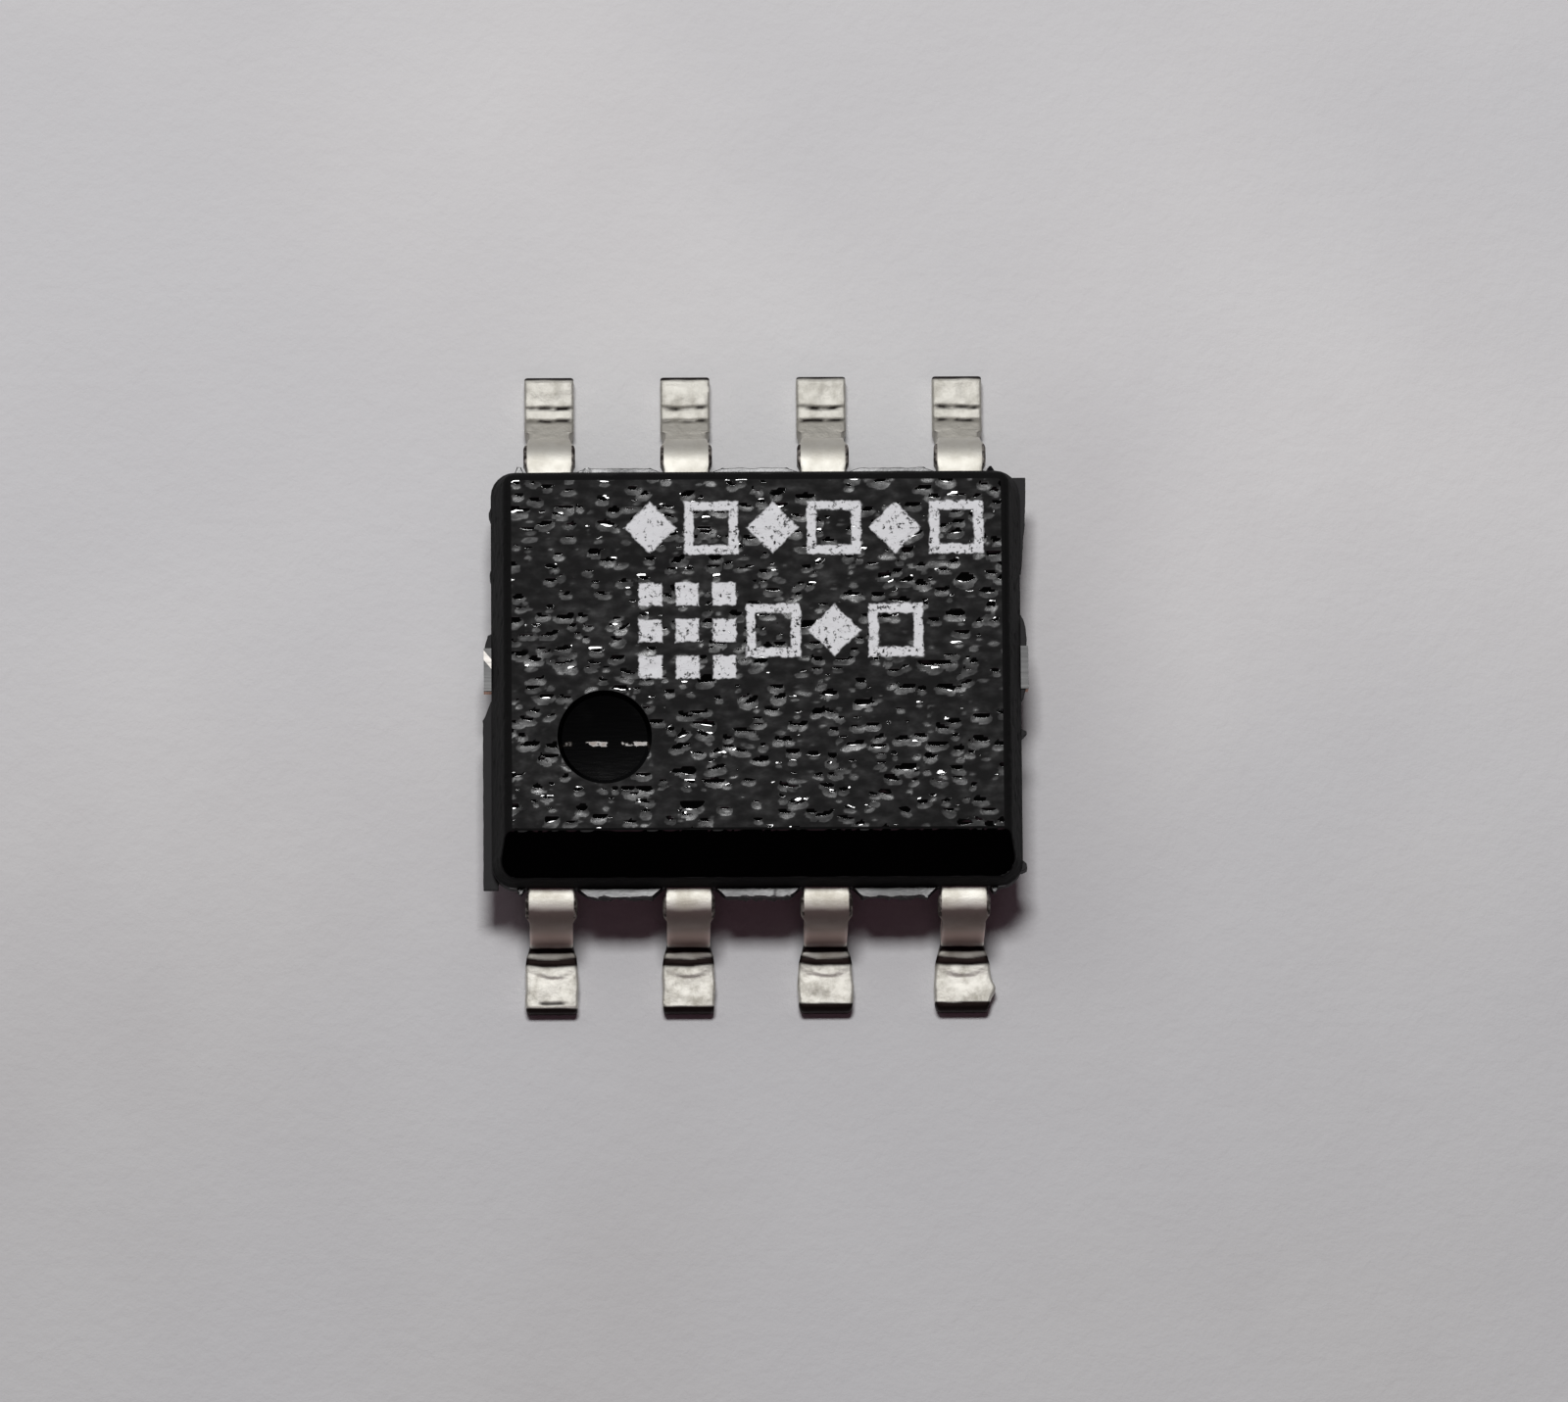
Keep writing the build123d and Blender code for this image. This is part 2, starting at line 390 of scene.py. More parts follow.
def tinned_metal():
    """Matt tin plating over copper alloy, with painted brown shade on the near risers."""
    s = Shader("tinned_metal")
    lines = s.noise(0.05, detail=3, stretch=(1.0, 0.12, 0.12))
    grain = s.noise(0.018, detail=3, roughness=0.7)
    stain = s.noise(0.22, detail=4, roughness=0.6)
    edge = (stain - 0.5) * 0.03
    colour = s.mix(stain.ramp(0.35, 0.75), (0.86, 0.845, 0.78), (0.66, 0.63, 0.55))
    # Painted shade: the far row is darker.
    colour = s.mix((s.y > 0) * 0.6, colour, (0.60, 0.58, 0.53))
    # Painted shade: the near risers are brown, darker towards their tops.
    riser = (s.z + edge).ramp(0.22, 0.30) * (s.z + edge).ramp(0.905, 0.935, 1.0, 0.0)
    brown = s.mix(s.z.ramp(0.45, 0.85), (0.62, 0.48, 0.44), (0.19, 0.145, 0.13))
    colour = s.mix(riser * (s.y < -2.10) * 0.88, colour, brown)
    # Painted shade: grey low in the far heels.
    colour = s.mix(in_shaded_far_heel(s) * 0.8, colour, HEEL_SHADE_GREY)
    # Sheared metal at the stubs' ends, and painted shade along their sides.
    stub_end = (beside_lead(s) + edge * 0.3).ramp(0.203, 0.211) * (abs(s.y) < 2.22)
    sheared_and_shaded = s.mix(s.noise(0.05, detail=3).ramp(0.4, 0.65), (0.06, 0.050, 0.046), (0.38, 0.35, 0.32))
    colour = s.mix(stub_end, colour, sheared_and_shaded)
    # Painted shade at the toes and in the creases, with a little grime.
    colour = s.mix(s.painted("shade_and_grime"), colour, GRIME_AND_SHADE)
    height = lines * 0.4 + grain * 0.6
    return s.finish(colour, 0.54 + stain * 0.16, metallic=1.0, normal=s.bump(height, 0.004))


def old_solder():
    """Solder left from a board: dull and lumpy, with painted shade in its creases."""
    s = Shader("old_solder")
    lumps = s.noise(0.11, detail=2)
    grain = s.noise(0.02, detail=3, roughness=0.7)
    stain = s.noise(0.15, detail=4, roughness=0.65)
    colour = s.mix(stain.ramp(0.4, 0.8), (0.80, 0.785, 0.73), (0.50, 0.48, 0.42))
    # Painted shade: the far row is darker.
    colour = s.mix((s.y > 0) * 0.5, colour, (0.58, 0.565, 0.52))
    # Painted shade: grey low in the far heels.
    colour = s.mix(in_shaded_far_heel(s) * 0.8, colour, HEEL_SHADE_GREY)
    # Painted shade at the toes and in the creases, with a little grime.
    colour = s.mix(s.painted("shade_and_grime"), colour, GRIME_AND_SHADE)
    height = lumps * 0.75 + grain * 0.25
    return s.finish(colour, 0.60 + stain * 0.16, metallic=1.0, normal=s.bump(height, 0.012))


def rolled_copper():
    """Copper alloy strip of the paddle and its tie bars, whose cut ends are smeared with plastic."""
    s = Shader("rolled_copper")
    lines = s.noise(0.05, detail=3, stretch=(0.1, 1.0, 1.0))
    stain = s.noise(0.5, detail=4)
    scrape = (abs(s.y - 0.20 + (s.x + 2.49) * 1.2) < 0.045) * (s.x < 0)
    smeared = (abs(s.x) > LAND_HALF.x - 0.01) * (s.z > LAND_TOP - 0.05) * (1 - scrape)
    copper = s.mix(stain.ramp(0.35, 0.7), (0.80, 0.44, 0.29), (0.60, 0.33, 0.22))
    colour = s.mix(scrape, copper, (0.20, 0.19, 0.18))
    colour = s.mix(smeared, colour, (0.012, 0.011, 0.012))
    return s.finish(colour, 0.3 + stain * 0.2, metallic=1 - smeared, normal=s.bump(lines, 0.002))


def silver_glue():
    """Silver-filled die glue."""
    s = Shader("silver_glue")
    flakes = s.cells(0.02)["Distance"]
    tone = s.noise(0.1, detail=4)
    colour = s.mix(tone, (0.50, 0.49, 0.47), (0.68, 0.67, 0.65))
    return s.finish(colour, 0.45 + tone * 0.2, metallic=0.6, normal=s.bump(flakes, 0.004))


def patterned_silicon():
    """Polished silicon with the blocks and lines of its circuit, and aluminium bond pads."""
    s = Shader("patterned_silicon")
    blocks = s.cells(0.28, stretch=(1, 1.4, 0.01))["Color"]
    waves = {"Vector": s.place, "Scale": 16.0}
    rows = s.node("ShaderNodeTexWave", {"bands_direction": "Y"}, waves)["Fac"]
    tint = s.mix(rows * 0.5, blocks, (0.25, 0.42, 0.38))
    circuit = s.mix(0.78, tint, (0.13, 0.16, 0.20))
    from_pad = abs(abs(s.x) - 0.60) - 0.30  # the pads lie 0.30 and 0.90 from the middle
    pads = (abs(from_pad) < PAD_HALF) * (abs(abs(s.y) - PAD_ROW) < PAD_HALF)
    circuit = s.mix(pads, circuit, (0.86, 0.87, 0.88))
    top = s.z > DIE_TOP - 0.001
    colour = s.mix(top, (0.17, 0.18, 0.20), circuit)
    sawn = s.noise(0.02, detail=2, stretch=(1, 1, 0.2))
    roughness = 0.18 + (1 - top) * 0.25 + rows * 0.06
    return s.finish(colour, roughness, metallic=0.35, normal=s.bump(sawn, 0.0006))


def drawn_gold():
    """Gold bond wire."""
    s = Shader("drawn_gold")
    lines = s.noise(0.01, detail=2)
    tone = s.noise(0.08, detail=2)
    colour = s.mix(tone, (1.0, 0.72, 0.30), (0.93, 0.63, 0.24))
    return s.finish(colour, 0.2 + tone * 0.12, metallic=1.0, normal=s.bump(lines, 0.0004))


def table_paper():
    """The pale, slightly mottled surface that the chip lies on, with painted shade near the chip and on the
    near side.
    """
    s = Shader("table_paper")
    mottle = s.noise(2.4, detail=4, roughness=0.55)
    fibres = s.noise(0.16, detail=4, roughness=0.65)
    tint = s.noise(7.0, detail=2)
    far = s.mix(mottle.ramp(0.3, 0.7), (0.745, 0.737, 0.740), (0.775, 0.770, 0.772))
    near = s.mix(mottle.ramp(0.3, 0.7), (0.575, 0.568, 0.570), (0.610, 0.606, 0.606))
    # Painted shade: darker towards the near side.
    colour = s.mix(s.y.ramp(-5.5, 3.0), near, far)
    colour = s.mix(tint.ramp(0.35, 0.65) * 0.5, colour, (0.635, 0.642, 0.665))
    # Painted shade round the chip.
    shade_round_chip = abs(s.x - 0.6).ramp(2.2, 3.8, 1.0, 0.0) * abs(s.y).ramp(2.0, 3.6, 1.0, 0.0)
    colour = s.mix(shade_round_chip * 0.25, colour, (0.40, 0.39, 0.41))
    height = fibres * 0.5 + mottle * 0.5
    return s.finish(colour, 0.85, normal=s.bump(height, 0.03), Specular_IOR_Level=0.2)


def show(bm, name, materials, replaces=(), sharp=50.0):
    """Makes a mesh built in millimetres into a piece, with its edges over sharp degrees hard."""
    bmesh.ops.scale(bm, vec=(MM,) * 3, verts=bm.verts)
    for face in bm.faces:
        face.smooth = True
    for edge in bm.edges:
        edge.smooth = edge.calc_face_angle(0) < math.radians(sharp)
    mesh = bpy.data.meshes.new(name)
    bm.to_mesh(mesh)
    bm.free()
    for material in materials:
        mesh.materials.append(material)
    made = bpy.data.objects.new(name, mesh)
    bpy.context.scene.collection.objects.link(made)
    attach(made, "root")
    if replaces:
        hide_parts(*replaces)


def bell(value, middle, width):
    """1 at the middle, falling smoothly to nearly nothing at twice the width from it."""
    return math.exp(-((value - middle) / width) ** 2)


def climb(value, low, high):
    """0 below low, 1 above high, and smooth between them."""
    share = max(0.0, min(1.0, (value - low) / (high - low)))
    return share * share * (3 - 2 * share)


def distinct(items):
    """The items in their order, each only once."""
    return list(dict.fromkeys(items))


def in_fixed_order(bm):
    """Builds a mesh anew in the order of its points, as bmesh's own order is another in each run."""
    order = sorted(bm.verts, key=lambda v: v.co[:])
    number = {v: i for i, v in enumerate(order)}
    faces = []
    for face in bm.faces:
        corners = [number[v] for v in face.verts]
        first = corners.index(min(corners))
        faces.append((corners[first:] + corners[:first], face.material_index))
    made = bmesh.new()
    verts = [made.verts.new(v.co) for v in order]
    for corners, finish in sorted(faces):
        made.faces.new([verts[i] for i in corners]).material_index = finish
    made.normal_update()
    bm.free()
    return made


def slice_up(bm, axis, low, high, step):
    """Cuts a mesh across an axis at even steps from low to high. The underside stays whole."""
    normal = Vector((0, 0, 0))
    normal[axis] = 1
    for i in range(1, math.ceil((high - low) / step)):
        faces = [f for f in bm.faces if f.material_index != UNDERSIDE]
        bmesh.ops.bisect_plane(
            bm, geom=bm.verts[:] + bm.edges[:] + faces, dist=TINY,
            plane_co=normal * (low + i * step), plane_no=normal,
        )


def hole_in_face(bm, face, centre, radius, segments):
    """Swaps a flat face for one with a round hole."""
    outline = face.edges[:]
    finish = face.material_index
    up = face.normal.copy()
    bmesh.ops.delete(bm, geom=[face], context="FACES_ONLY")
    circle = bmesh.ops.create_circle(bm, cap_ends=False, segments=segments, radius=radius)["verts"]
    bmesh.ops.translate(bm, vec=centre, verts=circle)
    hole = distinct(e for v in circle for e in v.link_edges)
    made = bmesh.ops.triangle_fill(bm, edges=outline + hole, use_beauty=True, normal=up)["geom"]
    for item in made:
        if isinstance(item, bmesh.types.BMFace):
            item.material_index = finish


def plan_outward(point, core):
    """Direction in plan straight away from a core rectangle with these half sizes."""
    plan = Vector((point.x, point.y))
    nearest = Vector([max(-c, min(c, p)) for c, p in zip(core, plan)])
    out = (plan - nearest).normalized()
    return Vector((out.x, out.y, 0))


def block_profile():
    """Rings of the moulding from its top to its bottom: outward shift, height and finish."""
    turn = math.radians(90.0 - DRAFT_ANGLE)
    set_back = RIM * math.tan(turn / 2)
    steps = 4
    angles = [turn * i / steps for i in range(1, steps + 1)]
    rim = [(RIM * math.sin(angle), RIM * (1 - math.cos(angle))) for angle in angles]
    upper_run = (FACE - LAND_TOP) * DRAFT + set_back
    lower_run = (LAND_UNDER - BODY_UNDER) * DRAFT
    rings = [(out, FACE - down, DULL) for out, down in rim]
    rings += [(upper_run, LAND_TOP, DULL), (upper_run, LAND_UNDER, SMOOTH)]
    rings += [(upper_run - lower_run, BODY_UNDER, DULL)]
    return set_back, rings


def top_outline(bm, half, radius):
    """The flat face of the top, with its corners rounded, at its level."""
    bmesh.ops.create_grid(bm, x_segments=1, y_segments=1, size=0.5)
    bmesh.ops.scale(bm, vec=(2 * half.x, 2 * half.y, 1), verts=bm.verts)
    bmesh.ops.bevel(
        bm, geom=bm.verts[:], offset=radius, segments=6, profile=0.5, affect="VERTICES", material=-1)
    bmesh.ops.translate(bm, vec=(0, 0, FACE), verts=bm.verts)


def drop_walls(bm, rings, core):
    """Runs the walls down from the top's outline, ring by ring, and closes the underside."""
    ring, shift = bm.edges[:], 0.0
    for next_shift, height, finish in rings:
        made = bmesh.ops.extrude_edge_only(bm, edges=ring)["geom"]
        for v in [g for g in made if isinstance(g, bmesh.types.BMVert)]:
            v.co += plan_outward(v.co, core) * (next_shift - shift)
            v.co.z = height
        for f in [g for g in made if isinstance(g, bmesh.types.BMFace)]:
            f.material_index = finish
        ring = [g for g in made if isinstance(g, bmesh.types.BMEdge) and g.is_boundary]
        shift = next_shift
    for f in bmesh.ops.edgeloop_fill(bm, edges=ring)["faces"]:
        f.material_index = UNDERSIDE


def cut_bevel(bm):
    """Cuts the polished bevel along the near side and eases its edges."""
    foot = FACE - BEVEL
    side = (foot - LAND_TOP) * DRAFT - LAND_HALF.y
    bmesh.ops.bisect_plane(
        bm, geom=bm.verts[:] + bm.edges[:] + bm.faces[:], dist=TINY, clear_outer=True,
        plane_co=(0, side, foot), plane_no=(0, -1, 1))
    crease = [e for e in bm.edges if e.is_boundary]
    for f in bmesh.ops.edgeloop_fill(bm, edges=crease)["faces"]:
        f.material_index = POLISHED
    bmesh.ops.bevel(bm, geom=crease, offset=CREASE, segments=2, profile=0.5, affect="EDGES", material=DULL)
    bmesh.ops.recalc_face_normals(bm, faces=bm.faces)


def divide(bm):
    """Cuts the textured faces into a fine grid."""
    slice_up(bm, 0, -LAND_HALF.x, LAND_HALF.x, GRID)
    slice_up(bm, 1, -LAND_HALF.y, LAND_HALF.y, GRID)
    slice_up(bm, 2, LAND_TOP, FACE - RIM, WALL_GRID)
    slice_up(bm, 2, BODY_UNDER, LAND_UNDER, WALL_GRID)
    bmesh.ops.dissolve_edges(bm, edges=[e for e in bm.edges if slanted_on_top(e)], use_verts=True)


def moulding():
    """The plastic body, with its texture as real relief on the matt faces."""
    set_back, rings = block_profile()
    top_half = LAND_HALF - Vector((1, 1)) * ((FACE - LAND_TOP) * DRAFT + set_back)
    radius = CORNER - set_back
    bm = bmesh.new()
    top_outline(bm, top_half, radius)
    drop_walls(bm, rings, top_half - Vector((1, 1)) * radius)
    bm = in_fixed_order(bm)
    cut_bevel(bm)
    # The area tells the top face from the narrow ones of its rim.
    top = max(bm.faces, key=lambda f: f.calc_center_median().z + f.calc_area() * 0.01)
    top.material_index = MATT
    hole_in_face(bm, top, DIMPLE_PLACE, DIMPLE_RADIUS, 72)
    divide(bm)
    sink_dimple(bm)
    sink_ejector_mark(bm)
    bmesh.ops.remove_doubles(bm, verts=bm.verts, dist=1e-4)
    bmesh.ops.recalc_face_normals(bm, faces=bm.faces)
    bm = in_fixed_order(bm)
    roughen(bm)
    finishes = [eroded_plastic(), polished_plastic(), moulded_plastic(), wall_plastic()]
    show(bm, "moulding", finishes, ["moulded_body"])


def slanted_on_top(edge):
    """True for an edge in the top face that neither the grid nor the outline needs."""
    if len(edge.link_faces) != 2 or min(v.co.z for v in edge.verts) <= FACE - TINY:
        return False
    run = edge.verts[1].co - edge.verts[0].co
    slanted = min(abs(run.x), abs(run.y)) > TINY
    return slanted and all(f.normal.z > 0.999 for f in edge.link_faces)


def sink_dimple(bm):
    """Runs the wall and the dished floor of the index mark down from its open edge."""
    ring = [e for e in bm.edges if e.is_boundary]
    floor = DIMPLE_RADIUS - DIMPLE_WALL
    steps = [(floor, DIMPLE_DEPTH)]
    steps += [(floor * k, DIMPLE_DEPTH + DIMPLE_DISH * (1 - k * k)) for k in (0.8, 0.6, 0.4, 0.2, 0.03)]
    size = DIMPLE_RADIUS
    for radius, depth in steps:
        made = bmesh.ops.extrude_edge_only(bm, edges=ring)["geom"]
        verts = [g for g in made if isinstance(g, bmesh.types.BMVert)]
        bmesh.ops.scale(
            bm, vec=(radius / size,) * 2 + (1,), verts=verts, space=Matrix.Translation(-DIMPLE_PLACE))
        for v in verts:
            v.co.z = FACE - depth
        for f in [g for g in made if isinstance(g, bmesh.types.BMFace)]:
            f.material_index = POLISHED
        ring = [g for g in made if isinstance(g, bmesh.types.BMEdge) and g.is_boundary]
        size = radius
    for f in bmesh.ops.edgeloop_fill(bm, edges=ring)["faces"]:
        f.material_index = POLISHED


def sink_ejector_mark(bm):
    """The round mark of the ejector pin in the underside."""
    bottom = next(f for f in bm.faces if f.material_index == UNDERSIDE)
    bottom.material_index = MATT
    hole_in_face(bm, bottom, Vector((0, 0, BODY_UNDER)), EJECTOR_RADIUS, 64)
    ring = [e for e in bm.edges if e.is_boundary]
    raised = bmesh.ops.extrude_edge_only(bm, edges=ring)["geom"]
    bmesh.ops.translate(
        bm, vec=(0, 0, EJECTOR_DEPTH), verts=[g for g in raised if isinstance(g, bmesh.types.BMVert)])
    rim = [g for g in raised if isinstance(g, bmesh.types.BMEdge) and g.is_boundary]
    bmesh.ops.edgeloop_fill(bm, edges=rim)


def mould_pit(point):
    """Depth of the mould texture at a point, and how far it lies in a pit and in a pit's bank.

    A pit slopes gently down to its middle, and the level bottom and the bank past it are polished.
    """
    place = Vector((point.x / PIT_STRETCH, point.y, point.z)) / PIT_SIZE
    place += 0.5 * noise.noise_vector(point / 0.25)  # so that the pits don't lie in rows
    distances, centres = noise.voronoi(place)
    middle = centres[0]
    reach = 0.46 + 0.5 * noise.noise(middle * 1.7)
    tilt = PIT_TILT * (1 + 1.2 * noise.noise(middle * 1.3 + Vector((5, 1, 9))))
    from_middle = place - middle
    share = climb(reach - distances[0], 0.0, 0.28)
    depth = share * tilt * PIT_SIZE * max(0.0, reach + min(0.0, from_middle.y))
    bank = climb(0.85 * reach - (from_middle - BANK_PLACE).length, -0.15, 0.15)
    return depth, share, bank


def wanted_relief(vert):
    """How much of the texture's relief a point takes: none at a smooth finish and little beside one."""
    textured = {MATT, DULL}
    if vert.co.z < BODY_UNDER + 1e-3 or any(f.material_index not in textured for f in vert.link_faces):
        return 0.0
    neighbours = [edge.other_vert(vert) for edge in vert.link_edges]
    inside = all(f.material_index in textured for n in neighbours for f in n.link_faces)
    return 1.0 if inside else 0.4


def roughen(bm):
    """Gives the matt and dull faces slow waves and the small pits of the mould texture."""
    bm.normal_update()
    noise.seed_set(TEXTURE_SEED)
    pits = bm.verts.layers.float.new("pit")
    banks = bm.verts.layers.float.new("bank")
    moves = []
    for v in bm.verts:
        relief = wanted_relief(v)
        if relief:
            depth, pit, bank = mould_pit(v.co)
            wave = WAVES * noise.noise(Vector((v.co.x / 1.5, v.co.y, v.co.z)) / 0.10)
            moves.append((v, v.normal * (wave - depth) * relief))
            facing_up = climb(v.normal.z, 0.5, 0.9)
            v[pits], v[banks] = pit * facing_up, bank * facing_up
    for v, move in moves:
        v.co += move


def strip_half_widths(station, low_head, high_head):
    """How far the flat strip reaches to each side of its middle line at a station."""
    neck, stub = NECK_WIDTH / 2, STUB_WIDTH / 2
    riser, foot = RISER_WIDTH / 2, FOOT_WIDTH / 2
    foot_start = HEEL + BEND * BEND_RADIUS * 0.7
    points = [
        (FINGER_TIP, low_head, high_head), (FINGER_HEAD, low_head, high_head),
        (FINGER_NECK, neck, neck), (WALL, neck, neck), (WALL + 0.004, stub, stub),
        (STUB_END, stub, stub), (STUB_FADE, riser, riser), (foot_start, riser, riser),
        (foot_start + 0.08, foot, foot), (TOE, foot, foot),
    ]
    for (a, low_a, high_a), (b, low_b, high_b) in zip(points, points[1:]):
        if station <= b:
            share = max(0.0, (station - a) / (b - a))
            return low_a + (low_b - low_a) * share, high_a + (high_b - high_a) * share
    return foot, foot


def form(station, rise):
    """Where a point of the flat strip goes when the lead is bent: its distance out, and its height."""
    if station < SHOULDER:
        return station, STRIP_LEVEL + rise
    angle = min(BEND, (station - SHOULDER) / BEND_RADIUS)
    out = SHOULDER + (BEND_RADIUS + rise) * math.sin(angle)
    height = STRIP_LEVEL - BEND_RADIUS + (BEND_RADIUS + rise) * math.cos(angle)
    straight = min(RISER, station - SHOULDER - BEND * BEND_RADIUS)
    if straight <= 0:
        return out, height
    out += straight * math.cos(BEND)
    height -= straight * math.sin(BEND)
    turned = min(BEND, (station - HEEL) / BEND_RADIUS)
    if turned <= 0:
        return out, height
    inner = BEND_RADIUS - rise
    out += inner * (math.sin(BEND) - math.sin(BEND - turned))
    height -= inner * (math.cos(BEND - turned) - math.cos(BEND))
    return out + max(0.0, station - HEEL - BEND * BEND_RADIUS), height


def blank_strip():
    """The flat strip of a lead on the Y axis, with its edges eased and cut up so that it can bend."""
    bm = bmesh.new()
    bmesh.ops.create_cube(bm, size=1.0)
    length = TOE - FINGER_TIP
    bmesh.ops.scale(bm, vec=(BLANK_WIDTH, length, THICKNESS), verts=bm.verts)
    bmesh.ops.translate(bm, vec=(0, FINGER_TIP + length / 2, 0), verts=bm.verts)
    toe = [e for e in bm.edges if all(v.co.y > TOE - 1e-4 and v.co.z > 0 for v in e.verts)]
    bmesh.ops.bevel(
        bm, geom=toe, offset=TOE_ROUND, segments=5, profile=0.5, affect="EDGES", material=-1)
    along = [e for e in bm.edges if e.calc_face_angle(0) > 1.0]
    bmesh.ops.bevel(
        bm, geom=along, offset=EDGE_ROUND, segments=2, profile=0.5, affect="EDGES", material=-1)
    for low, high, step in CROSS_CUTS:
        slice_up(bm, 1, low, high, step)
    slice_up(bm, 0, *LONG_CUTS)
    return in_fixed_order(bm)


def tinned_lead(number, place, side, metal, solder):
    """One lead: the strip takes its outline and its solder, and is then bent and put in its place."""
    bm = blank_strip()
    inner, outer = (PITCH - FINGER_GAP) / 2, END_MARGIN - FINGER_COVER
    low_head = outer if place == 0 else inner
    high_head = outer if place == LEADS_PER_SIDE - 1 else inner
    for v in bm.verts:
        low, high = strip_half_widths(v.co.y, low_head, high_head)
        v.co.x *= (high if v.co.x > 0 else low) / (BLANK_WIDTH / 2)
    solder_foot(bm, number, side)
    middle = place * PITCH - LAST_LEAD
    for v in bm.verts:
        out, height = form(v.co.y, v.co.z)
        v.co = Vector((middle + v.co.x, side * out, height))
    bmesh.ops.recalc_face_normals(bm, faces=bm.faces)
    show(bm, f"tinned_lead_{number}", [metal, solder], [f"lead_{number}"])


def heel_ramp(out, slope, end):
    """How far a straight ramp of solder stands off the heel's hollow.

    out is the distance past the start of the foot, where the ramp's slope runs out at end.
    """
    if out >= 0:
        return max(0.0, slope * (end - out))
    turn = min(BEND, -out / BEND_RADIUS)
    hollow = BEND_RADIUS - THICKNESS / 2
    reach = (hollow - slope * end) / (math.cos(turn) + slope * math.sin(turn))
    return max(0.0, hollow - reach)


def crown(x):
    """1 along the middle of a foot, falling to 0 at its sides."""
    return 1 - min(1.0, abs(x) / (FOOT_WIDTH / 2)) ** 4


def near_solder(number, x, station, wander, lump):
    """Old solder on a near foot, with a tongue that ends in a curved lip.

    Gives the film's height, what stands on it or is sunk in it, and its darkness: painted shade in the
    creases, heel and sides, and a dark dash on lead 1.
    """
    out = station - FOOT_START
    across = x / (FOOT_WIDTH / 2)
    bow = 1 - across * across
    lip = 0.105 + 0.11 * bow + wander
    film = climb(out + wander, 0.035, 0.055) * (0.008 + 0.012 * lump)
    tongue = climb(lip - out, 0.0, 0.022) * climb(out, 0.055, 0.10) * crown(x)
    creases = bell(out + wander, 0.048 + 0.02 * bow, 0.036) + bell(out + wander, -0.095, 0.048)
    inside_lip = climb(out, 0.05, 0.07) * climb(lip - 0.03 - out, 0.0, 0.02)
    # Painted shade at the sides of the tongue.
    stain = 0.5 * inside_lip * climb(abs(across), 0.35, 0.8)
    # Painted shade in the heel's hollow.
    heel_shade = 0.45 * climb(out + wander, -0.15, -0.10) * climb(0.05 - out, 0.0, 0.03)
    dash = bell(station, TOE - 0.082, 0.016) * climb(0.13 - abs(x), 0.0, 0.03) * (number == 1)
    darkness = max(min(1.0, 2.0 * creases), stain, heel_shade, dash)
    return film + 0.016 * tongue, -CREASE_DEPTH * creases - 0.010 * dash, darkness


def far_solder(number, x, station, wander, lump):
    """The same for a far foot, where the solder ramps up into the heel."""
    out = station - FOOT_START
    across = x / (FOOT_WIDTH / 2)
    creases = bell(out + wander, 0.106, 0.014) + bell(out - wander, 0.226, 0.016)
    film = climb(out + wander, 0.215, 0.240) * (0.010 + 0.014 * lump)
    ramp = heel_ramp(out + wander, 0.45, 0.105)
    broken = climb(noise.noise(Vector((x, out * 0.7, number * 7.0)) / 0.09), -0.40, 0.05)
    full_width = climb(1.0 - abs(across), 0.02, 0.25 + 0.3 * lump)
    # Painted shade in the far foot's creases.
    darkness = min(1.0, 1.2 * creases * full_width * (0.3 + 0.7 * broken))
    return film, ramp - CREASE_DEPTH * creases, darkness


def solder_rise(number, side, x, station):
    """Height of old solder over a lead's foot at a point of the flat strip, and its painted shade and grime.
    """
    seed = Vector((x, station, number * 5.0))
    wander = 0.016 * noise.noise(seed / 0.16)
    lump = noise.noise(seed / 0.13) * crown(x)
    laid = near_solder if side < 0 else far_solder
    film, relief, darkness = laid(number, x, station, wander, lump)
    # Painted shade along the toe.
    tip = TIP_SHADE[number] + wander * 0.6
    shade_and_grime = climb(station, TOE - tip - 0.010, TOE - tip + 0.004)
    return film * climb(TOE - station, 0.0, 0.07) + relief, max(shade_and_grime, darkness)


def solder_foot(bm, number, side):
    """Lays uneven old solder over a lead's foot, and marks its faces and its painted shade and grime."""
    shade_and_grime = bm.verts.layers.float.new("shade_and_grime")
    for v in bm.verts:
        x, station = v.co.x, v.co.y
        if station < HEEL - 0.15:
            continue
        rise, v[shade_and_grime] = solder_rise(number, side, x, station)
        if v.co.z > 0:
            v.co.z += rise
        if side < 0:
            spread = climb(station, FOOT_START - 0.02, FOOT_START + 0.12) * climb(TOE - station, -0.02, 0.10)
            seed = Vector((station, math.copysign(1, x), number * 3.0))
            v.co.x *= 1 + spread * (SOLDER_SPREAD[number] + 0.05 * noise.noise(seed / 0.14))
            if number == 4 and x > 0:  # a blot of solder beside this lead
                v.co.x += 0.05 * x / (FOOT_WIDTH / 2) * bell(station, TOE - 0.20, 0.07)
    start = FOOT_START + (0.045 if side < 0 else -0.28)
    for f in bm.faces:
        if f.calc_center_median().y > start:
            f.material_index = 1


